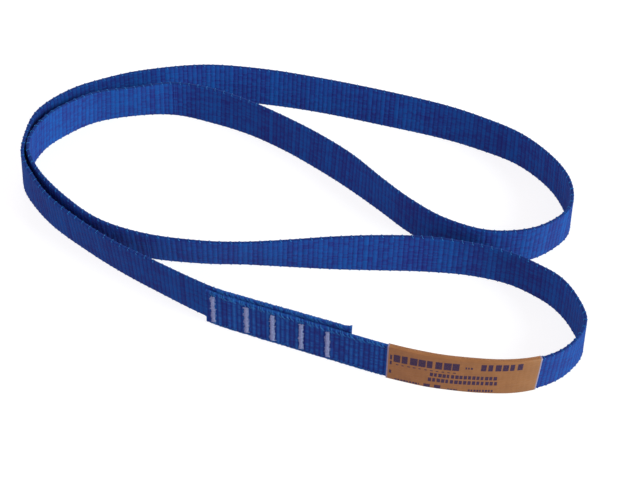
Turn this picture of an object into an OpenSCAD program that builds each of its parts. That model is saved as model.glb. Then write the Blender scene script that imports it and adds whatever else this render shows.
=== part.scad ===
// Endless flat web sling. One length of webbing is closed into a loop by a lapped, bar-tacked
// splice. The loop stands on its edge, bent double at -X, with its two open eyes at +X.
// Millimetres, +Z up.

/* [Webbing] */
// Width of the webbing, which is its height as it stands
web_w = 26; // [24:0.5:28]
// Thickness of the webbing
web_t = 2; // [1.6:0.1:2.1]
// Chamfer that stands for the rounded selvedges
web_edge = 0.5; // [0.2:0.1:0.7]
// Length of each swept step
step_l = 8; // [4:4:8]

/* [Splice] */
// Gap between the two layers of the lap
lap_gap = 0.1; // [0.05:0.05:0.3]
// How much higher the back layer sits where the lap starts
lap_lift = 1.5; // [0.5:0.5:2]
// How much higher the back layer sits at its cut end
lap_lift_end = 3; // [1:0.5:4]

/* [Bar tacks] */
// Distances of the five tacks from the front layer's cut end
tack_at = [4.5, 24, 39, 55.5, 70.5];
// Width of a tack along the webbing
tack_w = 2.8; // [2:0.1:3.5]
// Length of a tack across the webbing
tack_l = 21; // [16:0.5:22]
// How far the thread stands out of the webbing
tack_h = 0.4; // [0.3:0.1:0.7]

/* [Label] */
// Distance of the label's near end from the front layer's cut end
label_at = 104; // [104:8:112]
// Length of the label along the webbing
label_l = 80; // [64:8:80]
// Thickness of the label
label_t = 0.35; // [0.2:0.05:0.4]
// Slack between the label and the webbing
label_gap = 0.06; // [0.04:0.02:0.1]
// Height of the closing seam on the label's back
seam_h = 5; // [3:0.5:8]

/* [Fold] */
// Gap that is left in each layer where the sling folds
fold_gap = 0.4; // [0.3:0.1:0.6]

/* [Hidden] */

// Route of the webbing's foot line, from the front layer's cut end round to the lap's back layer.
// Each point is [x, y, lean, lift]: lean is how far the top edge stands to the left of the foot,
// seen along the route, and lift is the foot's height over the floor.
route = [
  // front layer of the lap, from its cut end
  [-43, -75, -2, 0], [-19, -84, -2, 0], [5, -92, -2, 0], [35, -102, -2, 0],
  // near strand, under the label
  [56, -109, -2, 0.5], [78, -114, -2, 0.5], [101, -116, -2, 0.5], [122, -115, -2, 0.5],
  // lower eye
  [140, -109, -2, 0.5], [153, -98, -1, 0], [161, -83, 1, 0], [157, -66, 1, 0],
  [149, -52, 1, 0], [138, -42, 2, 0], [122, -33, 2, 0],
  // middle strand
  [100, -28, 1, 0], [75, -27, -1, 0], [50, -28, -1, 0], [25, -29, 1, 0], [0, -29, 5, 0],
  [-25, -29, 8, 0], [-50, -30, 8, 0], [-80, -28, 7, 0], [-106, -21, 5, 0],
  // inner layer of the bend
  [-128, -7, 2, 0], [-145, 11, 1, 0], [-155, 28, 0, 0], [-157, 43, -1, 0],
  [-153, 58, -2, 0], [-144, 71, -2, 0], [-126, 87, -3, 0], [-102, 96, -4, 0],
  // inner strand of the upper arm
  [-77, 99, -1, 0], [-53, 93, 1, 0], [-30, 84, 0, 0], [-8, 71, 0, 0], [12, 56, 1, 0],
  [31, 40, 1, 0], [50, 22, -1, 0], [67, 5, -1, 0],
  // upper eye
  [86, -9, -1, 0], [110, -17, -1, 0], [135, -13, -1, 0], [153, 1, -1, 0], [160, 15, 1, 0],
  [158, 33, 1, 0], [149, 52, 2, 0], [132, 70, 2, 0],
  // far strand
  [109, 82, 1, 0], [85, 91, 0, 0], [50, 100, -1, 0], [11, 109, -1, 0], [-25, 114, -2, 0],
  [-60, 115, -2, 0],
  // outer layer of the bend
  [-95, 107, -2, 0], [-118, 97, -2, 0], [-138, 84, -2, 0], [-154, 65, -1, 0], [-160, 43, 1, 0],
  [-158, 25, 0, 0], [-150, 10, -1, 0], [-136, -7, -3, 0],
  // near strand, on to the back layer of the lap
  [-116, -24, -4, 0], [-96, -39, -4, 0], [-75, -53, -3, 0.5],
];

// Route points that end the stretches. The sling folds at the two that are named fold.
lap_end = 3;
label_run_end = 8;
lower_eye_end = 14;
middle_run_end = 22;
inner_fold = 27;
inner_bend_end = 32;
upper_run_end = 39;
upper_eye_end = 48;
far_run_end = 54;
outer_fold = 58;
outer_bend_end = 62;
route_end = len(route);

// Points worked out between two route points
between = 8;
// Half of the spacing over which a direction is measured
reach = 1;
// How deep a tack's thread sinks into the faces of the webbing
bite = 0.05;
// Size of the threads that pass through the webbing
thread = 1;

// Unit direction from point a to point b, seen from above
function direction(a, b) = let (d = [b[0] - a[0], b[1] - a[1]]) d / norm(d);

// Unit normal to the left of a direction
function left_of(d) = [-d[1], d[0]];

// Direction of the route at point i
function heading(i) = direction(route[max(i - 1, 0)], route[i + 1]);

// The back layer of the lap, one thickness behind the front layer and rising towards its end
function behind(i) =
  let (n = left_of(heading(i)) * (web_t + lap_gap))
  [route[i][0] + n[0], route[i][1] + n[1], route[i][2],
   lap_lift + (lap_lift_end - lap_lift) * i / lap_end];

points = concat(route, [for (i = [0:lap_end]) behind(i)]);
last = len(points) - 1;

// Point i. Past its cut end, each layer of the lap would go on beside the other one.
function point(i) =
  i < 0 ? route[route_end - 1] + route[0] - behind(0) :
  i > last ? behind(lap_end + 1) : points[i];

// Smooth curve from b to c, where a and d are the points before and after them
function curve(a, b, c, d, t) =
  b + (t * (c - a) + t * t * (2 * a - 5 * b + 4 * c - d) + t * t * t * (3 * b - a - 3 * c + d)) / 2;

line = [
  for (i = [0:last - 1], k = [0:between - 1])
    curve(point(i - 1), point(i), point(i + 1), point(i + 2), k / between),
  points[last]
];

// Length of the step that ends at point i of the line
function stride(i) =
  i >= len(line) ? 0 : norm([line[i][0] - line[i - 1][0], line[i][1] - line[i - 1][1]]);

// Distance along the webbing of each point of the line
along = [for (i = 0, s = 0; i < len(line); i = i + 1, s = s + stride(i)) s];

// Tables of x, y, lean and lift against the distance along the webbing
tables = [for (k = [0:3]) [for (i = [0:len(line) - 1]) [along[i], line[i][k]]]];

// Point, lean and lift at a distance along the webbing
function place(s) = [for (t = tables) lookup(s, t)];

// Distance along the webbing of a route point
function mark(i) = along[i * between];

// Corners of a chamfered rectangle, from q[0] to q[1] across and from v[0] to v[1] up
function outline(q, v, c) = [
  [q[0] + c, v[0]], [q[1] - c, v[0]], [q[1], v[0] + c], [q[1], v[1] - c],
  [q[1] - c, v[1]], [q[0] + c, v[1]], [q[0], v[1] - c], [q[0], v[0] + c]
];

// The outline stood up across the webbing at distance s, leaning as the webbing does there
function section(s, q, v, c) =
  let (p = place(s),
       n = left_of(direction(place(s - reach), place(s + reach))),
       rise = sqrt(1 - pow(p[2] / web_w, 2)))
  [for (k = outline(q, v, c))
    let (side = k[0] + p[2] * k[1] / web_w)
    [p[0] + n[0] * side, p[1] + n[1] * side, p[3] + k[1] * rise]];

// A strip that follows the webbing from a to b. Its rings stand at whole multiples of step_l, so
// that strips over and under each other have the same facets.
module strip(a, b, q, v, c) {
  inside = [for (i = [floor(a / step_l) + 1:ceil(b / step_l) - 1]) i * step_l];
  rings = [for (s = concat([a], inside, [b])) section(s, q, v, c)];
  steps = len(rings) - 1;
  sides = len(rings[0]);
  polyhedron(
    points = [for (r = rings) each r],
    faces = concat(
      [[for (k = [0:sides - 1]) k]],
      [for (i = [0:steps - 1], k = [0:sides - 1], half = [0, 1])
        let (here = i * sides, next = here + sides, m = (k + 1) % sides)
        half == 0 ? [here + k, next + k, next + m] : [here + k, next + m, here + m]],
      [[for (k = [sides - 1:-1:0]) steps * sides + k]]
    )
  );
}

// A stretch of the webbing
module webbing(a, b) {
  color("mediumblue") strip(a, b, [-web_t / 2, web_t / 2], [0, web_w], web_edge);
}

module splice_front_layer() { webbing(mark(0), mark(lap_end)); }

module label_run() { webbing(mark(lap_end), mark(label_run_end)); }

module lower_eye() { webbing(mark(label_run_end), mark(lower_eye_end)); }

module middle_run() { webbing(mark(lower_eye_end), mark(middle_run_end)); }

module inner_bend_lower() { webbing(mark(middle_run_end), mark(inner_fold) - fold_gap / 2); }

module inner_bend_upper() { webbing(mark(inner_fold) + fold_gap / 2, mark(inner_bend_end)); }

module inner_upper_run() { webbing(mark(inner_bend_end), mark(upper_run_end)); }

module upper_eye() { webbing(mark(upper_run_end), mark(upper_eye_end)); }

module far_run() { webbing(mark(upper_eye_end), mark(far_run_end)); }

module outer_bend_upper() { webbing(mark(far_run_end), mark(outer_fold) - fold_gap / 2); }

module outer_bend_lower() { webbing(mark(outer_fold) + fold_gap / 2, mark(outer_bend_end)); }

module near_run() { webbing(mark(outer_bend_end), mark(route_end)); }

module splice_back_layer() { webbing(mark(route_end), mark(last)); }

// One dense row of thread on each face of the lap, joined by threads through both layers
module bar_tack(k) {
  s = tack_at[k - 1];
  front = -web_t / 2;
  back = front + 2 * web_t + lap_gap;
  foot = (web_w - tack_l) / 2;
  color("lightsteelblue") {
    for (q = [[front - tack_h, front + bite], [back - bite, back + tack_h]])
      strip(s - tack_w / 2, s + tack_w / 2, q, [foot, foot + tack_l], tack_h / 3);
    for (v = [foot + thread, web_w / 2, foot + tack_l - thread])
      strip(s - thread / 2, s + thread / 2, [front - tack_h / 2, back + tack_h / 2],
            [v - thread / 2, v + thread / 2], thread / 5);
  }
}

// Printed label, wrapped all round the webbing
module label() {
  inner = label_gap;
  outer = label_gap + label_t;
  half = web_t / 2;
  color("peru") difference() {
    strip(label_at, label_at + label_l, [-half - outer, half + outer],
          [-outer, web_w + outer], web_edge + label_t);
    strip(label_at - 1, label_at + label_l + 1, [-half - inner, half + inner],
          [-inner, web_w + inner], web_edge);
  }
}

// Welded seam that closes the label on the side away from the print
module label_seam() {
  face = web_t / 2 + label_gap + label_t;
  color("sienna")
    strip(label_at, label_at + label_l, [face, face + label_t],
          [(web_w - seam_h) / 2, (web_w + seam_h) / 2], label_t / 3);
}

splice_front_layer();
label_run();
lower_eye();
middle_run();
inner_bend_lower();
inner_bend_upper();
inner_upper_run();
upper_eye();
far_run();
outer_bend_upper();
outer_bend_lower();
near_run();
splice_back_layer();
for (k = [1:len(tack_at)])
  bar_tack(k);
label();
label_seam();
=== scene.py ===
"""Looks of the flat web sling: woven webbing, bar tacks and a wrapped label, on a pale studio floor.
Lengths are in metres. s runs along the webbing from the front layer's cut end, q across its thickness
to the left of the way along, and v up its width."""

import math
from functools import cache

import bmesh
import bpy
import numpy as np
from mathutils import Matrix, Vector


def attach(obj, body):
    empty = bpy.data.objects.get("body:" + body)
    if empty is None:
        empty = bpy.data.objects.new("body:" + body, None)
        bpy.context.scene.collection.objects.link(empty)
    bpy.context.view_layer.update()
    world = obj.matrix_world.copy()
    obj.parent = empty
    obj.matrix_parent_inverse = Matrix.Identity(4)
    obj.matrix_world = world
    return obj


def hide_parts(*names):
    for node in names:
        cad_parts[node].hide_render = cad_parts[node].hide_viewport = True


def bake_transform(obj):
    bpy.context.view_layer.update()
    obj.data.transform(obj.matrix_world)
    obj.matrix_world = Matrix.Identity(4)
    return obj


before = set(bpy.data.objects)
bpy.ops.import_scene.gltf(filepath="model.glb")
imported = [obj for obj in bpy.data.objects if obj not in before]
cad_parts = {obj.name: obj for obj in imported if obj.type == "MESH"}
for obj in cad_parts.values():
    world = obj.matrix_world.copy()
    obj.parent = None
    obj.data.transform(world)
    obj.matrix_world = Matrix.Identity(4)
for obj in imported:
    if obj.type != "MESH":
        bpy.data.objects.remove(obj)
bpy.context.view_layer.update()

MM = 0.001

# The webbing: its width, half its thickness, the radius of its selvedges, the pitch and depth of its
# weft ribs, and the pitch of its yarns.
WEB_W = 0.026
WEB_HALF = 0.001
EDGE_R = 0.0006
RIB = 0.0028
RIB_DEPTH = 0.0002
YARN = 0.001

# The lap: the gap between its layers, and how far its back layer is off the floor at its two ends.
LAP_GAP = 0.0001
LAP_LIFT = 0.0015
LAP_LIFT_END = 0.003

# The bar tacks: where they are along the lap, their width, and where they start and end up the webbing.
TACK_AT = (0.0045, 0.024, 0.039, 0.0555, 0.0705)
TACK_W = 0.0028
TACK_FOOT = 0.0025
TACK_TOP = 0.0235

# The label: where it starts along the webbing, its length, and how far out its two faces are.
LABEL_AT = 0.104
LABEL_L = 0.080
LABEL_OUT = 0.00041
LABEL_IN = 0.00005

# The camera: its lens and sensor in millimetres, how steeply it looks down and is rolled, the point that
# it looks at, and its distance from that.
CAMERA_LENS = 103.8
CAMERA_SENSOR = 36
CAMERA_RISE = math.radians(43.44)
CAMERA_ROLL = math.radians(3.1)
CAMERA_AIM = Vector((0.016, -0.006, 0))
CAMERA_FAR = 1.059

# The route of part.scad: x, y, lean of the top edge to the left, and lift of the foot.
ROUTE = np.array([
    # front layer of the lap
    (-0.043, -0.075, -0.002, 0), (-0.019, -0.084, -0.002, 0), (0.005, -0.092, -0.002, 0),
    (0.035, -0.102, -0.002, 0),
    # near strand, under the label
    (0.056, -0.109, -0.002, 0.0005), (0.078, -0.114, -0.002, 0.0005), (0.101, -0.116, -0.002, 0.0005),
    (0.122, -0.115, -0.002, 0.0005),
    # lower eye
    (0.140, -0.109, -0.002, 0.0005), (0.153, -0.098, -0.001, 0), (0.161, -0.083, 0.001, 0),
    (0.157, -0.066, 0.001, 0), (0.149, -0.052, 0.001, 0), (0.138, -0.042, 0.002, 0),
    (0.122, -0.033, 0.002, 0),
    # middle strand
    (0.100, -0.028, 0.001, 0), (0.075, -0.027, -0.001, 0), (0.050, -0.028, -0.001, 0),
    (0.025, -0.029, 0.001, 0), (0, -0.029, 0.005, 0), (-0.025, -0.029, 0.008, 0),
    (-0.050, -0.030, 0.008, 0), (-0.080, -0.028, 0.007, 0), (-0.106, -0.021, 0.005, 0),
    # inner layer of the bend
    (-0.128, -0.007, 0.002, 0), (-0.145, 0.011, 0.001, 0), (-0.155, 0.028, 0, 0),
    (-0.157, 0.043, -0.001, 0), (-0.153, 0.058, -0.002, 0), (-0.144, 0.071, -0.002, 0),
    (-0.126, 0.087, -0.003, 0), (-0.102, 0.096, -0.004, 0),
    # inner strand of the upper arm
    (-0.077, 0.099, -0.001, 0), (-0.053, 0.093, 0.001, 0), (-0.030, 0.084, 0, 0),
    (-0.008, 0.071, 0, 0), (0.012, 0.056, 0.001, 0), (0.031, 0.040, 0.001, 0),
    (0.050, 0.022, -0.001, 0), (0.067, 0.005, -0.001, 0),
    # upper eye
    (0.086, -0.009, -0.001, 0), (0.110, -0.017, -0.001, 0), (0.135, -0.013, -0.001, 0),
    (0.153, 0.001, -0.001, 0), (0.160, 0.015, 0.001, 0), (0.158, 0.033, 0.001, 0),
    (0.149, 0.052, 0.002, 0), (0.132, 0.070, 0.002, 0),
    # far strand
    (0.109, 0.082, 0.001, 0), (0.085, 0.091, 0, 0), (0.050, 0.100, -0.001, 0),
    (0.011, 0.109, -0.001, 0), (-0.025, 0.114, -0.002, 0), (-0.060, 0.115, -0.002, 0),
    # outer layer of the bend
    (-0.095, 0.107, -0.002, 0), (-0.118, 0.097, -0.002, 0), (-0.138, 0.084, -0.002, 0),
    (-0.154, 0.065, -0.001, 0), (-0.160, 0.043, 0.001, 0), (-0.158, 0.025, 0, 0),
    (-0.150, 0.010, -0.001, 0), (-0.136, -0.007, -0.003, 0),
    # near strand, on to the back layer of the lap
    (-0.116, -0.024, -0.004, 0), (-0.096, -0.039, -0.004, 0), (-0.075, -0.053, -0.003, 0.0005),
])
# Route points: the last of the front layer in the lap, and the ends of the bend's two layers.
LAP_END = 3
INNER_BEND = (22, 32)
OUTER_BEND = (54, 62)
# Steps of the smooth line from one route point to the next.
BETWEEN = 32


def aim_camera():
    """The camera at the photograph's angle: it looks down along +Y, and is rolled a little."""
    data = bpy.data.cameras.new("camera")
    data.lens = CAMERA_LENS
    data.sensor_width = CAMERA_SENSOR
    data.clip_start = 0.05
    data.clip_end = 20
    camera = bpy.data.objects.new("camera", data)
    bpy.context.scene.collection.objects.link(camera)
    ahead = Vector((0, math.cos(CAMERA_RISE), -math.sin(CAMERA_RISE)))
    right = Vector((1, 0, 0))
    up = Vector((0, math.sin(CAMERA_RISE), math.cos(CAMERA_RISE)))
    side = right * math.cos(CAMERA_ROLL) + up * math.sin(CAMERA_ROLL)
    over = up * math.cos(CAMERA_ROLL) - right * math.sin(CAMERA_ROLL)
    turn = Matrix((side, over, -ahead)).transposed().to_4x4()
    camera.matrix_world = Matrix.Translation(CAMERA_AIM - ahead * CAMERA_FAR) @ turn
    bpy.context.scene.camera = camera


def unit(a):
    """Vectors of length one."""
    return a / np.linalg.norm(a, axis=-1, keepdims=True)


def behind(i):
    """Point i of the lap's back layer, beside the front layer's point i and rising to its cut end."""
    ends = (ROUTE[i + 1] - ROUTE[max(i - 1, 0)])[:2]
    way = unit(ends)
    gap = 2 * WEB_HALF + LAP_GAP
    x = ROUTE[i, 0] - way[1] * gap
    y = ROUTE[i, 1] + way[0] * gap
    lift = LAP_LIFT + (LAP_LIFT_END - LAP_LIFT) * i / LAP_END
    return np.array((x, y, ROUTE[i, 2], lift))


def smooth_line():
    """The smooth line through the route and the back layer, and the distance along it."""
    start = ROUTE[-1] + ROUTE[0] - behind(0)
    layer = [behind(i) for i in range(LAP_END + 2)]
    points = [start, *ROUTE, *layer]
    t = (np.arange(BETWEEN) / BETWEEN)[:, None]
    spans = []
    for a, b, c, d in zip(points, points[1:], points[2:], points[3:]):
        bend = t * (c - a) + t**2 * (2 * a - 5 * b + 4 * c - d) + t**3 * (3 * b - a - 3 * c + d)
        spans.append(b + bend / 2)
    line = np.concatenate(spans + [points[-2][None]])
    steps = np.linalg.norm(np.diff(line[:, :2], axis=0), axis=1)
    return line, np.concatenate([[0], np.cumsum(steps)])


LINE, ALONG = smooth_line()


def mark(i):
    """Distance along the webbing of route point i."""
    return ALONG[i * BETWEEN]


# Where the lap's back layer starts, beside the front layer's cut end, and its own cut end.
BACK_FROM = mark(len(ROUTE))
CUT_END = ALONG[-1]


def place(s):
    """x, y, lean and lift at distances s."""
    return [np.interp(s, ALONG, LINE[:, k]) for k in range(4)]


def along_way(s):
    """Unit direction of the webbing at distances s, from above."""
    s = np.clip(s, 0, CUT_END)
    x0, y0 = place(s - MM)[:2]
    x1, y1 = place(s + MM)[:2]
    return unit(np.stack([x1 - x0, y1 - y0], -1))


def at(s, q, v):
    """Points of the frame at s along the webbing, q across it and v up it."""
    s, q, v = np.broadcast_arrays(s, q, v)
    x, y, lean, lift = place(s)
    way = along_way(s)
    side = q + lean * v / WEB_W
    rise = np.sqrt(1 - (lean / WEB_W) ** 2)
    return np.stack([x - way[..., 1] * side, y + way[..., 0] * side, lift + v * rise], -1)


class Shell:
    """Points, faces, corner UVs and material numbers of a mesh as it is put together."""

    def __init__(self):
        self.points = []
        self.uvs = []
        self.faces = []
        self.kinds = []
        self.flat = []
        self.count = 0

    def add_points(self, points):
        """Adds points, and gives their numbers."""
        ids = self.count + np.arange(points[..., 0].size).reshape(points.shape[:-1])
        self.points.append(points.reshape(-1, 3))
        self.count += ids.size
        return ids

    def add_faces(self, faces, uvs, kind, flat):
        """faces is an array of point numbers, and uvs has a pair for each of them."""
        self.faces.extend(faces.tolist())
        self.uvs.append(uvs.reshape(-1, 2))
        self.kinds.extend([kind] * len(faces))
        self.flat.extend([flat] * len(faces))

    def add_skin(self, ids, uvs, kind=0):
        """Quads between rings. ids is tubes by rings by points, and uvs has one more point in each ring."""
        turned = np.roll(ids, -1, axis=2)
        quads = np.stack([ids[:, :-1], turned[:, :-1], turned[:, 1:], ids[:, 1:]], -1)
        near = uvs[:, :, :-1]
        far = uvs[:, :, 1:]
        corners = np.stack([near[:, :-1], far[:, :-1], far[:, 1:], near[:, 1:]], -2)
        self.add_faces(quads.reshape(-1, 4), corners, kind, False)

    def add_tubes(self, rings, uvs, kind=0):
        """Tubes with closed ends. rings is tubes by rings by points by 3."""
        ids = self.add_points(rings)
        self.add_skin(ids, uvs, kind)
        self.add_faces(ids[:, 0, ::-1], uvs[:, 0, -2::-1], kind, True)
        self.add_faces(ids[:, -1], uvs[:, -1, :-1], kind, True)

    def build(self, name, *materials):
        """The mesh as an object of the scene, smooth but for its ends, with its UVs in a map named lay."""
        mesh = bpy.data.meshes.new(name)
        mesh.from_pydata(np.concatenate(self.points).tolist(), [], self.faces)
        layer = mesh.uv_layers.new(name="lay")
        layer.data.foreach_set("uv", np.concatenate(self.uvs).astype(np.float32).ravel())
        for material in materials:
            mesh.materials.append(material)
        mesh.polygons.foreach_set("material_index", self.kinds)
        mesh.polygons.foreach_set("use_smooth", np.logical_not(self.flat))
        shape = bmesh.new()
        shape.from_mesh(mesh)
        bmesh.ops.recalc_face_normals(shape, faces=shape.faces)
        shape.to_mesh(mesh)
        shape.free()
        piece = bpy.data.objects.new(name, mesh)
        bpy.context.scene.collection.objects.link(piece)
        return piece


def around(paths, radius, sides, up):
    """Rings of points round paths, which are tubes by points by 3. up is a direction never along them."""
    ahead = unit(np.gradient(paths, axis=1))
    side = unit(np.cross(ahead, up))
    over = np.cross(side, ahead)
    turns = np.arange(sides) * 2 * math.pi / sides
    ring = np.cos(turns)[:, None] * side[..., None, :] + np.sin(turns)[:, None] * over[..., None, :]
    return paths[..., None, :] + radius * ring


def thread_uvs(paths, sides):
    """UVs of thread: millimetres along it, and turns round it."""
    steps = np.linalg.norm(np.diff(paths, axis=1), axis=2)
    far = np.concatenate([np.zeros((len(paths), 1)), np.cumsum(steps, axis=1)], axis=1) / MM
    return np.stack(np.broadcast_arrays(far[..., None], np.arange(sides + 1) / sides), -1)


THREAD_SIDES = 6


def add_threads(shell, paths, radius, up, kind=0):
    """Round threads along paths, added to a shell."""
    rings = around(paths, radius, THREAD_SIDES, up)
    shell.add_tubes(rings, thread_uvs(paths, THREAD_SIDES), kind)


# The section's points: spans across each face, and the degrees of those round each selvedge.
SPANS = 22
EDGE_BENDS = (22, 45, 68, 90, 112, 135, 158)
AROUND = 2 * (SPANS + 1 + len(EDGE_BENDS))

# Where each rib's crest lies, how tall it is, and how tall each float across it is. The weft isn't
# beaten up evenly, so they vary a little.
CREST_SPREAD = 0.07
TALL_SPREAD = 0.08
FLOAT_SPREAD = 0.3
draw = np.random.default_rng(7)
RIBS = int(CUT_END / RIB)
uneven = draw.normal(0, CREST_SPREAD, RIBS + 1)
uneven[[0, -1]] = 0
CRESTS = (np.arange(RIBS + 1) + uneven) * CUT_END / RIBS
RIB_TALL = 1 + draw.normal(0, TALL_SPREAD, RIBS + 1)
FLOAT_TALL = 1 - np.abs(draw.normal(0, FLOAT_SPREAD, (RIBS + 1, AROUND)))
# Rings of points from one crest to the next, and the power that makes the ribs broad and their valleys
# narrow.
RIB_STEPS = 6
RIB_BROAD = 4

# The ribs of the lap, which its stitching strains, below the first number and above the second. The webbing
# gets a painted highlight on their crests.
LAP_RIBS_TO = 37
LAP_RIBS_FROM = RIBS - 28
# Ribs are deeper on the lap's outer faces and shallower between its layers, by this share, from the front
# layer's cut end to PUCKERED_TO and on the back layer.
PUCKER = 0.8
PUCKERED_TO = 0.108
# The front layer's inner top edge is pressed square against the back layer from its cut end to here.
PRESSED_TO = 0.08
PRESSED = 0.9
# The length over which each of these fades out.
FADE = 0.004

# How deep a bar tack pulls the webbing in and how wide, and the same of the dip beside it.
TACK_PULL = 0.00016
PULL_WIDE = 0.0016
DIP_SHARE = 0.9
DIP_PAST = 0.0055
DIP_WIDE = 0.0024

# How much of the ribs shows round the selvedges, how far these go in and out with the ribs, and how far
# the corner of the back layer's cut end curls.
EDGE_SHOWN = 0.6
EDGE_WAVE = 0.00015
CURL_BACK = 0.0006
CURL_UP = 0.001


def outline():
    """The section once round: share of the half thickness, v, and how much the ribs show."""
    faces = np.linspace(EDGE_R, WEB_W - EDGE_R, SPANS + 1)
    bends = np.radians(EDGE_BENDS)
    front = [(-1, v, 1) for v in faces]
    top = [(-math.cos(a), WEB_W - EDGE_R + EDGE_R * math.sin(a), EDGE_SHOWN) for a in bends]
    back = [(1, v, 1) for v in faces[::-1]]
    foot = [(math.cos(a), EDGE_R - EDGE_R * math.sin(a), EDGE_SHOWN) for a in bends]
    return np.array(front + top + back + foot)


OUTLINE = outline()


def faded(distance):
    """From 0 at no distance, or less, to 1 at FADE or more."""
    return np.clip(distance / FADE, 0, 1)


def pulled_in(s):
    """How far the bar tacks pull the webbing in at distances s: at each tack, and in a dip beside it."""
    pull = np.zeros_like(s)
    for tack in TACK_AT:
        for start in (0, BACK_FROM):
            past = s - start - tack
            tight = np.exp(-((past / PULL_WIDE) ** 2))
            dip = np.exp(-(((past - DIP_PAST) / DIP_WIDE) ** 2))
            pull = np.maximum(pull, tight + DIP_SHARE * dip)
    return pull


def puckered(s, share):
    """How much deeper the ribs are: the stitching draws up the lap's outer faces and presses the inner."""
    front = faded(PUCKERED_TO - s)
    back = faded(s - BACK_FROM + FADE)
    return PUCKER * share * (back - front)


def weave(shell, first, last):
    """The woven body of the webbing from crest first to crest last, closed at both ends."""
    share, v, shown = OUTLINE.T
    ribs = np.arange(first, last)
    step = np.arange(RIB_STEPS) / RIB_STEPS
    height = 1 - np.sin(math.pi * step) ** RIB_BROAD
    s = np.append(CRESTS[ribs, None] + step * np.diff(CRESTS)[ribs, None], CRESTS[last])
    nearest = np.append(ribs[:, None] + (step >= 0.5), last)
    tall = np.append(np.tile(height, len(ribs)), 1) * RIB_TALL[nearest]
    tall = tall[:, None] * FLOAT_TALL[nearest]
    depth = RIB_DEPTH * (1 + puckered(s[:, None], share))
    half = WEB_HALF - depth * (1 - tall * shown) - TACK_PULL * pulled_in(s)[:, None]
    half = np.minimum(half, WEB_HALF)
    up = v + np.where(v > WEB_W / 2, 1, -1) * EDGE_WAVE * (tall - 1) * (1 - shown)
    pressed = faded(PRESSED_TO - s)[:, None] * (share > 0) * (v > WEB_W / 2)
    near_top = np.clip((v - WEB_W + 2 * EDGE_R) / EDGE_R, 0, 1)
    up = up + PRESSED * pressed * (WEB_W - up) * near_top
    top_third = np.clip(v / WEB_W * 3 - 2, 0, 1)
    curl = faded(s - CUT_END + FADE)[:, None] ** 2 * top_third**2
    points = at(s[:, None], share * half + CURL_BACK * curl, up + CURL_UP * curl)
    section = np.stack([share * WEB_HALF, v], -1)
    girth = np.linalg.norm(np.diff(section, axis=0, append=section[:1]), axis=1)
    yarns = np.append(0, np.cumsum(girth)) / YARN
    count = np.append(ribs[:, None] + step, last)
    uvs = np.stack(np.broadcast_arrays(count[:, None], yarns), -1)
    shell.add_tubes(points[None], uvs[None])


# A catch stitch over a selvedge: its points along the webbing, across it and down from its edge, in mm.
STITCH = np.array([
    (1.5, -0.7, 1.9), (1.2, -0.94, 1.6), (0.75, -1.0, 1.1), (0.15, -0.95, 0.6), (0, -0.68, 0.14),
    (-0.15, 0, 0), (-0.45, 0.68, 0.14), (-0.75, 0.95, 0.6), (-1.35, 1.0, 1.1), (-1.95, 0.94, 1.6),
    (-2.25, 0.7, 1.9),
])
# The radius of its thread, and how far the stitches on the lap stray along it.
STITCH_R = 0.00016
STITCH_STRAY = 0.0003
# The share of that reach: of the short stitches, and the mean, spread, least and most of the long ones.
SHORT = 0.4
LONG = 1.2
LONG_SPREAD = 0.3
LONG_LEAST = 0.6
LONG_MOST = 1.6


def edge_stitches(shell, first, last):
    """The lighter catch thread over both selvedges: short ticks, but long, close and uneven on the lap."""
    ribs = np.arange(max(first, 1), min(last, RIBS - 1))
    lap = (ribs < LAP_RIBS_TO) | (ribs > LAP_RIBS_FROM)
    crests = CRESTS[ribs]
    plain = crests[~lap & (ribs % 2 == 0)]
    close = np.concatenate([crests[lap], crests[lap][::2] + RIB / 2])
    close = close + draw.normal(0, STITCH_STRAY, len(close))
    long = np.clip(draw.normal(LONG, LONG_SPREAD, len(close)), LONG_LEAST, LONG_MOST)
    s = np.concatenate([plain, close])[:, None]
    reach = np.concatenate([np.full(len(plain), SHORT), long])[:, None]
    along, side, drop = STITCH.T * MM
    drop = drop * reach
    for v in (WEB_W - drop, np.maximum(drop, STITCH_R)):
        add_threads(shell, at(s + along * reach, side, v), STITCH_R, (0.4, 0.9, 0.1), 1)


def rib_at(i):
    """The rib's crest nearest to route point i."""
    return int(np.abs(CRESTS - mark(i)).argmin())


def make_webbing(name, first, last, nodes):
    """A stretch of webbing between two crests, which stands for CAD nodes."""
    shell = Shell()
    weave(shell, first, last)
    edge_stitches(shell, first, last)
    piece = shell.build(name, webbing_material(), stitch_material())
    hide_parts(*nodes)
    return piece


def make_sling_webbing():
    """The webbing, in five stretches: three on the bodies, and two round the sling's bends, on no body."""
    inner = [rib_at(i) for i in INNER_BEND]
    outer = [rib_at(i) for i in OUTER_BEND]
    lower = make_webbing(
        "webbing_lower_eye", 0, inner[0], ["splice_front_layer", "label_run", "lower_eye", "middle_run"]
    )
    inside = make_webbing("webbing_inner_bend", *inner, ["inner_bend_lower", "inner_bend_upper"])
    upper = make_webbing(
        "webbing_upper_eye", inner[1], outer[0], ["inner_upper_run", "upper_eye", "far_run"]
    )
    outside = make_webbing("webbing_outer_bend", *outer, ["outer_bend_upper", "outer_bend_lower"])
    near = make_webbing("webbing_near_run", outer[1], RIBS, ["near_run", "splice_back_layer"])
    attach(lower, "lower_arm")
    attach(near, "lower_arm")
    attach(upper, "upper_arm")
    for bend in (inside, outside):
        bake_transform(bend)


# One turn of a bar tack's zigzag: share of the turn, widths across the tack, and millimetres outward.
ZIGZAG = np.array([
    (0, -0.5, -0.3), (0.04, -0.42, 0.1), (0.25, 0, 0.16),
    (0.5, 0.5, -0.3), (0.54, 0.42, 0.1), (0.75, 0, 0.16),
])
# Its turns, how far they stray, how far it stands out from the lap, and the radius of its thread.
TACK_TURNS = 18
TACK_STRAY = 0.00032
TACK_OUT = 0.00006
TACK_R = 0.00024
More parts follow.
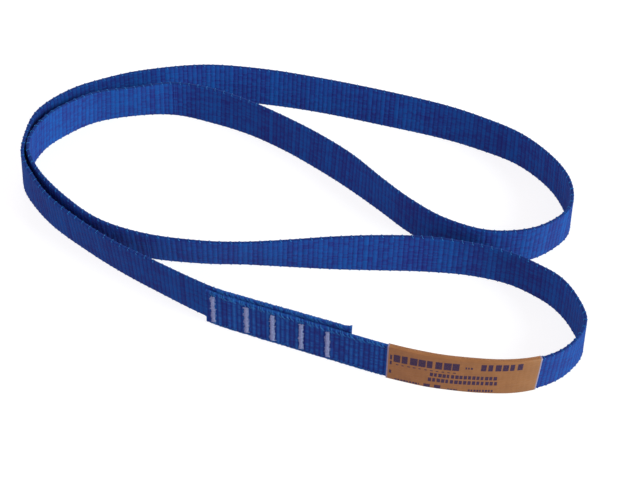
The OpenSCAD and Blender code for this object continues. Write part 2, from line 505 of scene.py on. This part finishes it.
# The two straight stays under the zigzag: where they lie across the tack, the points along them, how far
# they stand out, how deep their ends dive, and their radius.
STAYS = (-0.0006, 0.0005)
STAY_STEPS = 24
STAY_OUT = 0.00002
STAY_DIVE = 0.0004
STAY_R = 0.00025


def make_tack(k, s):
    """Bar tack k at distance s: a dense zigzag of thread on each face of the lap, over two long stays."""
    shell = Shell()
    turn, wide, high = ZIGZAG.T
    proud = TACK_OUT - TACK_PULL
    for q, out in ((-WEB_HALF - proud, -1), (3 * WEB_HALF + LAP_GAP + proud, 1)):
        share = (np.arange(TACK_TURNS)[:, None] + turn) / TACK_TURNS
        v = TACK_FOOT + (TACK_TOP - TACK_FOOT) * share
        across = wide * TACK_W + draw.normal(0, TACK_STRAY, v.shape)
        depth = np.broadcast_to(q + out * high * MM, v.shape)
        path = at((s + across).ravel(), depth.ravel(), v.ravel())
        add_threads(shell, path[None], TACK_R, (0.05, 0.1, 1))
        for lane in STAYS:
            v = np.linspace(TACK_FOOT, TACK_TOP, STAY_STEPS)
            depth = np.full(len(v), q + out * STAY_OUT)
            depth[[0, -1]] -= out * STAY_DIVE
            add_threads(shell, at(s + lane, depth, v)[None], STAY_R, (1, 0.1, 0))
    piece = shell.build(f"bar_tack_thread_{k}", thread_material())
    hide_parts(f"bar_tack_{k}")
    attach(piece, "lower_arm")


# The label's rings along it, and how it rounds over at its ends: past them, and at a share of its height.
LABEL_RINGS = 161
LABEL_ROUND = 0.00012
LABEL_ROUND_OUT = 0.75
# How far the ribs under the label show through, and how far it is slack, in waves along it and up it.
SHOW_THROUGH = 0.00004
SLACK = 0.00005
SLACK_ALONG = 260
SLACK_UP = 300
# Added to the v of the label's back in its UVs, in millimetres, so that no print falls there.
BACK_V = 100


def label_rings(s, out):
    """Rings round the webbing at distances s, out from its surface."""
    share, v, shown = OUTLINE.T
    rib = np.interp(s, CRESTS, np.arange(RIBS + 1))
    ribbed = SHOW_THROUGH * np.abs(np.cos(math.pi * rib))[:, None] * shown
    slack = SLACK * np.sin(s[:, None] * SLACK_ALONG + v * SLACK_UP)
    grow = out + (ribbed + slack) * (out > LABEL_IN)
    up = WEB_W / 2 + (v - WEB_W / 2) * (1 + 2 * out / WEB_W)
    return at(s[:, None], share * (WEB_HALF + grow), up)


def make_label():
    """The wrapped label: a thin sleeve with two faces, closed at its two ends."""
    far = np.linspace(0, LABEL_L, LABEL_RINGS)
    s = LABEL_AT + far
    start = label_rings(s[:1] - LABEL_ROUND, LABEL_ROUND_OUT * LABEL_OUT)
    end = label_rings(s[-1:] + LABEL_ROUND, LABEL_ROUND_OUT * LABEL_OUT)
    rings = np.concatenate([start, label_rings(s, LABEL_OUT), end, label_rings(s, LABEL_IN)[::-1]])
    share, height, _ = np.concatenate([OUTLINE, OUTLINE[:1]]).T
    u = np.concatenate([[0], far, [LABEL_L], far[::-1], [0]]) / MM
    v = height / MM + BACK_V * (share > 0)
    shell = Shell()
    ids = shell.add_points(rings)
    ids = np.concatenate([ids, ids[:1]])
    uvs = np.stack(np.broadcast_arrays(u[:, None], v), -1)
    shell.add_skin(ids[None], uvs[None])
    piece = shell.build("label_sleeve", label_material())
    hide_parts("label")
    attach(piece, "lower_arm")


# The label's seam: its rows of points up the webbing from its middle, which of them are crimped and which
# rounded, its inset from the label's ends, and its rings.
SEAM_ROWS = np.array((-2.5, -2.2, -1.1, 0, 1.1, 2.2, 2.5)) * MM
SEAM_CRIMPED = 0.002
SEAM_ROUNDED = 0.0024
SEAM_INSET = 0.0002
SEAM_RINGS = 321
# How deep the seam sits in the label, its thickness, how far its rounded rows drop, and the pitch and
# depth of its crimps.
SEAM_SUNK = 0.0001
SEAM_THICK = 0.0003
SEAM_DROP = 0.0001
CRIMP = 0.001
CRIMP_DEPTH = 0.00009


def make_label_seam():
    """The welded seam that closes the label on its back: a flat strip with crimped ridges."""
    s = LABEL_AT + np.linspace(SEAM_INSET, LABEL_L - SEAM_INSET, SEAM_RINGS)
    off = np.abs(SEAM_ROWS)
    v = SEAM_ROWS + WEB_W / 2
    ridge = CRIMP_DEPTH * (np.sin(2 * math.pi * s / CRIMP)[:, None] > 0) * (off < SEAM_CRIMPED)
    face = WEB_HALF + LABEL_OUT - SEAM_SUNK
    top = at(s[:, None], face + SEAM_THICK + ridge - SEAM_DROP * (off > SEAM_ROUNDED), v)
    under = at(s[:, None], face, v[::-1])
    rings = np.concatenate([top, under], axis=1)
    round_v = np.concatenate([v, v[::-1], v[:1]]) / MM
    uvs = np.stack(np.broadcast_arrays((s[:, None] - LABEL_AT) / MM, round_v), -1)
    shell = Shell()
    shell.add_tubes(rings[None], uvs[None])
    piece = shell.build("label_back_seam", seam_material())
    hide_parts("label_seam")
    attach(piece, "lower_arm")


class Nodes:
    """A material's shader nodes, made by name and joined by passing outputs as inputs."""

    def __init__(self, name):
        self.material = bpy.data.materials.new(name)
        self.material.use_nodes = True
        self.tree = self.material.node_tree
        self.tree.nodes.clear()

    def add(self, kind, inputs=(), **settings):
        """A node. inputs is a dict of socket names or numbers to a value or another node's output."""
        node = self.tree.nodes.new("ShaderNode" + kind)
        for name, value in settings.items():
            setattr(node, name, value)
        for key, value in dict(inputs).items():
            if isinstance(value, bpy.types.NodeSocket):
                self.tree.links.new(value, node.inputs[key])
            else:
                node.inputs[key].default_value = value
        return node

    def math(self, operation, a, b=0.0, c=0.0):
        return self.add("Math", {0: a, 1: b, 2: c}, operation=operation).outputs[0]

    def times(self, a, b):
        return self.math("MULTIPLY", a, b)

    def plus(self, a, b):
        return self.math("ADD", a, b)

    def times_plus(self, a, b, c):
        """a times b, plus c."""
        return self.math("MULTIPLY_ADD", a, b, c)

    def within(self, value, low, high):
        """1 where value lies from low to high."""
        return self.times(self.math("GREATER_THAN", value, low), self.math("LESS_THAN", value, high))

    def smooth(self, value, low, high, start=0.0, end=1.0):
        """value from low to high, taken smoothly to start to end."""
        node = self.add(
            "MapRange", {0: value, 1: low, 2: high, 3: start, 4: end}, interpolation_type="SMOOTHSTEP"
        )
        return node.outputs[0]

    def mix(self, share, a, b):
        """Colour a, mixed with this share of colour b."""
        return self.add("Mix", {0: share, 6: a, 7: b}, data_type="RGBA").outputs[2]

    def lay(self):
        """The two numbers of the UV map named lay, and both together."""
        uv = self.add("UVMap", uv_map="lay").outputs[0]
        parts = self.add("SeparateXYZ", {0: uv})
        return parts.outputs[0], parts.outputs[1], uv

    def noise(self, vector, scale, detail=2.0, roughness=0.5):
        sockets = {"Vector": vector, "Scale": scale, "Detail": detail, "Roughness": roughness}
        return self.add("TexNoise", sockets).outputs[0]

    def dice(self, number):
        """A random share for each value of number."""
        return self.add("TexWhiteNoise", {1: number}, noise_dimensions="1D").outputs[0]

    def vector(self, x, y):
        return self.add("CombineXYZ", {0: x, 1: y}).outputs[0]

    def bump(self, height, distance):
        return self.add("Bump", {"Height": height, "Distance": distance, "Strength": 1.0}).outputs[0]

    def finish(self, **sockets):
        """Ends in a Principled shader with these sockets, and gives the material."""
        names = {k.replace("_", " ").title(): v for k, v in sockets.items()}
        shader = self.add("BsdfPrincipled", {k.replace("Ior", "IOR"): v for k, v in names.items()})
        out = self.add("OutputMaterial")
        self.tree.links.new(shader.outputs[0], out.inputs[0])
        return self.material


# WEB_BRIGHT goes on the ribs' crests as painted highlight and WEB_DEEP into their valleys as painted shade;
# the random shades below mix the two as well.
WEB_DEEP = (0.018, 0.022, 0.18, 1)
WEB_BRIGHT = (0.01, 0.09, 0.37, 1)
WEB_RIM = (0.008, 0.025, 0.13, 1)
# Painted highlight on the lap's rib crests and on its rims.
WEB_LAP_HIGHLIGHT = (0.025, 0.13, 0.42, 1)
SHEEN_TINT = (0.3, 0.35, 1, 1)
# What the webbing's shades are added to, so that their sum is about a half.
SHADES_START = -0.57
# The middle of the top rim, and the way on to the middle of the foot's rim, in yarns round the section.
RIM_AT = 26.1
HALF_ROUND = 27.4


@cache
def webbing_material():
    """Blue woven polyester: mottled yarns, painted highlight on the rib crests and painted shade between
    them, more painted highlight on the lap, and darker rims.
    """
    n = Nodes("blue_webbing")
    rib, yarn, _ = n.lay()
    crest = n.math("ABSOLUTE", n.math("COSINE", n.times(rib, math.pi)))
    groove = n.math("ABSOLUTE", n.math("SINE", n.times(yarn, math.pi)))
    cell = n.vector(n.math("ROUND", rib), n.math("FLOOR", yarn))
    mottle = n.add("TexWhiteNoise", {0: cell}, noise_dimensions="2D").outputs[0]
    row = n.dice(n.math("ROUND", rib))
    streak = n.noise(n.vector(n.times(rib, 0.06), yarn), 1.3, 3.0)
    patch = n.noise(n.vector(n.times(rib, 0.1), n.times(yarn, 0.12)), 1.0, 2.0)
    fibre = n.noise(n.vector(n.times(rib, 3.0), n.times(yarn, 9.0)), 1.0, 3.0)
    # Painted highlight on the ribs' crests, and painted shade in the valleys between them.
    painted_crest_light = n.smooth(crest, 0.1, 0.8)
    shades = ((streak, 0.4), (mottle, 0.34), (patch, 0.4), (row, 0.3), (painted_crest_light, 0.3), (fibre, 0.3))
    light = SHADES_START
    for shade, weight in shades:
        light = n.times_plus(shade, weight, light)
    colour = n.mix(n.smooth(light, 0.0, 1.0), WEB_DEEP, WEB_BRIGHT)
    # On the lap, a painted highlight on the ribs' crests, in random patches, and on the rims in place of
    # most of their darker colour.
    in_front = n.math("LESS_THAN", rib, LAP_RIBS_TO)
    in_back = n.math("GREATER_THAN", rib, LAP_RIBS_FROM)
    on_lap = n.math("MAXIMUM", in_front, in_back)
    worn = n.smooth(n.plus(n.plus(row, fibre), mottle), 1.1, 2.3)
    ridge = n.times(n.smooth(crest, 0.75, 1.0), worn)
    colour = n.mix(n.times(on_lap, ridge), colour, WEB_LAP_HIGHLIGHT)
    from_rim = n.math("WRAP", yarn, RIM_AT + HALF_ROUND / 2, RIM_AT - HALF_ROUND / 2)
    from_rim = n.math("ABSOLUTE", n.plus(from_rim, -RIM_AT))
    rim = n.mix(on_lap, WEB_RIM, WEB_LAP_HIGHLIGHT)
    by_rim = n.times(n.smooth(from_rim, 0.7, 1.4, 0.6, 0.0), n.times_plus(on_lap, -0.6, 1.0))
    colour = n.mix(by_rim, colour, rim)
    rough = n.smooth(n.times_plus(mottle, 0.4, fibre), 0.2, 1.2, 0.52, 0.72)
    height = n.times_plus(groove, 0.5, n.times(mottle, 0.35))
    height = n.times_plus(fibre, 0.25, height)
    return n.finish(
        base_color=colour, roughness=rough, specular_ior_level=0.06, sheen_weight=0.08, sheen_roughness=0.4,
        sheen_tint=SHEEN_TINT, normal=n.bump(height, 0.0002),
    )


def thread(name, deep, bright, sheen):
    """Twisted sewing thread: plies that wind round it, in two tones."""
    n = Nodes(name)
    far, turn, _ = n.lay()
    ply = n.math("SINE", n.times(n.times_plus(far, 1.6, turn), 4 * math.pi))
    fibre = n.noise(n.vector(n.times(far, 2.0), n.times(turn, 6.0)), 1.5)
    worn = n.noise(n.vector(n.times(far, 0.5), 0.0), 1.0, 3.0)
    light = n.times_plus(ply, 0.2, n.times_plus(worn, 1.2, n.plus(fibre, -0.6)))
    colour = n.mix(n.smooth(light, 0.1, 0.9), deep, bright)
    return n.finish(
        base_color=colour, roughness=n.smooth(fibre, 0.3, 0.7, 0.4, 0.6), specular_ior_level=0.2,
        sheen_weight=sheen, sheen_roughness=0.4, normal=n.bump(ply, 0.00004),
    )


@cache
def stitch_material():
    """The catch thread of the selvedges, a paler blue."""
    return thread("selvedge_thread", (0.015, 0.11, 0.36, 1), (0.03, 0.26, 0.66, 1), 0.02)


@cache
def thread_material():
    """The bar tacks' thread, grey with a lilac cast."""
    return thread("tack_thread", (0.18, 0.22, 0.5, 1), (0.54, 0.62, 0.9, 1), 0.1)


LABEL_TAN = (0.33, 0.135, 0.044, 1)
LABEL_PALE = (0.37, 0.154, 0.051, 1)
LABEL_SCUFF = (0.2, 0.09, 0.04, 1)
LABEL_RIM = (0.3, 0.24, 0.33, 1)
INK = (0.03, 0.012, 0.06, 1)
# The clear rim at each end of the label: it is whole to the first number and gone at the second, in mm.
RIM_MM = (0.5, 0.8)
# Rows of print with no letters: from and to along the label, from and to up it and the pitch of its
# blocks, in millimetres, and the share of the pitch that is inked.
PRINT = (
    (3.5, 38.5, 15.9, 21.6, 4.4, 0.88),
    (5.0, 38.0, 13.7, 14.4, 3.0, 0.5),
    (41.0, 45.2, 17.8, 19.4, 1.4, 0.7),
    (49.0, 71.2, 16.9, 21.9, 3.7, 0.8),
    (23.2, 58.0, 9.5, 12.4, 2.2, 0.8),
    (22.4, 58.4, 5.3, 8.3, 2.3, 0.8),
    (4.8, 18.0, 1.0, 2.6, 1.6, 0.75),
    (20.4, 23.8, 0.0, 3.0, 3.4, 1.1),
    (26.0, 29.4, 0.0, 3.0, 3.4, 1.1),
    (33.0, 38.2, -0.4, 1.0, 1.6, 0.8),
    (43.8, 57.2, -0.2, 1.5, 1.5, 0.75),
    (1.6, 2.7, 17.2, 21.0, 1.1, 1.1),
    (1.6, 2.7, 13.2, 16.2, 1.1, 1.1),
    (1.5, 2.7, 6.2, 8.8, 1.2, 1.1),
)
# The rows climb a little along the label. Their heights are right at PRINT_LEVEL along it.
PRINT_LEAN = 0.05
PRINT_LEVEL = 21


@cache
def label_material():
    """Tan printed film: rows of plain blocks in dark ink, scuffed, with a clear rim at both ends."""
    n = Nodes("label_film")
    u, v, uv = n.lay()
    line = n.times_plus(u, -PRINT_LEAN, n.plus(v, PRINT_LEVEL * PRINT_LEAN))
    ink = 0.0
    for left, right, foot, top, pitch, share in PRINT:
        across = n.times_plus(u, 1 / pitch, -left / pitch)
        width = n.times_plus(n.dice(n.math("FLOOR", across)), 0.3 * share, 0.75 * share)
        block = n.times(n.within(u, left, right), n.within(line, foot, top))
        inked = n.math("LESS_THAN", n.math("FRACT", across), width)
        ink = n.math("MAXIMUM", ink, n.times(block, inked))
    worn = n.noise(uv, 2.4, 3.0, 0.6)
    ink = n.times(ink, n.smooth(worn, 0.3, 0.5, 0.55, 1.0))
    film = n.mix(n.smooth(n.noise(uv, 0.09, 3.0), 0.35, 0.65), LABEL_TAN, LABEL_PALE)
    film = n.mix(n.smooth(n.noise(uv, 5.0), 0.6, 0.75, 0.0, 0.12), film, LABEL_SCUFF)
    whole, gone = RIM_MM
    end = LABEL_L / MM
    rim = n.math("MAXIMUM", n.smooth(u, whole, gone, 1.0, 0.0), n.smooth(u, end - gone, end - whole))
    film = n.mix(rim, film, LABEL_RIM)
    crease = n.noise(n.vector(n.times(u, 0.25), n.times(v, 0.8)), 1.0, 3.0)
    return n.finish(
        base_color=n.mix(ink, film, INK), roughness=n.smooth(worn, 0.2, 0.8, 0.34, 0.5),
        specular_ior_level=0.4, coat_weight=0.15, coat_roughness=0.3, normal=n.bump(crease, 0.00025),
    )


WELD = (0.3, 0.14, 0.06, 1)
WELD_SCORCHED = (0.18, 0.08, 0.035, 1)
WELD_RIDGE = (0.38, 0.19, 0.09, 1)


@cache
def seam_material():
    """The label's weld: scorched in places, and paler on its ridges."""
    n = Nodes("label_weld")
    u, _, uv = n.lay()
    ridge = n.smooth(n.math("SINE", n.times(u, 2 * math.pi)), -0.3, 0.3)
    scorch = n.noise(uv, 0.5, 3.0)
    colour = n.mix(n.smooth(scorch, 0.3, 0.8), WELD, WELD_SCORCHED)
    return n.finish(
        base_color=n.mix(ridge, colour, WELD_RIDGE), roughness=n.smooth(scorch, 0.2, 0.8, 0.35, 0.5),
        normal=n.bump(n.noise(uv, 3.0), 0.0001),
    )


FLOOR_HALF = 6
FLOOR_GREY = (0.3, 0.3, 0.3, 1)
FLOOR_GLOW = 0.84


def make_stage():
    """A plain pale floor with a little light of its own."""
    mesh = bpy.data.meshes.new("studio_floor")
    r = FLOOR_HALF
    mesh.from_pydata([(-r, -r, 0), (r, -r, 0), (r, r, 0), (-r, r, 0)], [], [(0, 1, 2, 3)])
    n = Nodes("studio_floor")
    pale = n.finish(
        base_color=FLOOR_GREY, roughness=0.9, specular_ior_level=0.1,
        emission_color=(1, 1, 1, 1), emission_strength=FLOOR_GLOW,
    )
    mesh.materials.append(pale)
    floor = bpy.data.objects.new("studio_floor", mesh)
    bpy.context.scene.collection.objects.link(floor)
    floor.visible_diffuse = False
    floor.visible_glossy = False
    floor.visible_shadow = False


def add_sun(name, azimuth, elevation, strength, softness, colour):
    """A soft light from azimuth, where 0 is the camera's side and 90 the right."""
    data = bpy.data.lights.new(name, "SUN")
    data.energy = strength
    data.angle = math.radians(softness)
    data.color = colour
    lamp = bpy.data.objects.new(name, data)
    bpy.context.scene.collection.objects.link(lamp)
    a = math.radians(azimuth)
    e = math.radians(elevation)
    toward = Vector((math.sin(a) * math.cos(e), -math.cos(a) * math.cos(e), math.sin(e)))
    lamp.rotation_mode = "QUATERNION"
    lamp.rotation_quaternion = toward.to_track_quat("Z", "Y")
    return lamp


# The colours of the light, all nearly neutral.
SURROUNDINGS = (0.35, 0.32, 0.36, 1)
KEY_WHITE = (0.85, 1.0, 0.97)
FILL_WHITE = (1.0, 0.85, 0.97)


def light_studio():
    """Plain soft light: pale surroundings, a key and its bounce from the right, a fill and a back light."""
    world = bpy.data.worlds.new("studio")
    world.use_nodes = True
    back = world.node_tree.nodes["Background"]
    back.inputs[0].default_value = SURROUNDINGS
    back.inputs[1].default_value = 1.0
    bpy.context.scene.world = world
    add_sun("key_light", 66, 32, 2.3, 25, KEY_WHITE)
    add_sun("bounce_light", 66, -25, 1.85, 25, KEY_WHITE)
    add_sun("fill_light", -65, 25, 1.1, 50, FILL_WHITE)
    back_light = add_sun("back_light", 180, 12, 2.2, 40, (1, 1, 1))
    back_light.visible_glossy = False
    bpy.context.scene.view_settings.view_transform = "Standard"


aim_camera()
make_stage()
make_sling_webbing()
for k, s in enumerate(TACK_AT):
    make_tack(k + 1, s)
make_label()
make_label_seam()
light_studio()
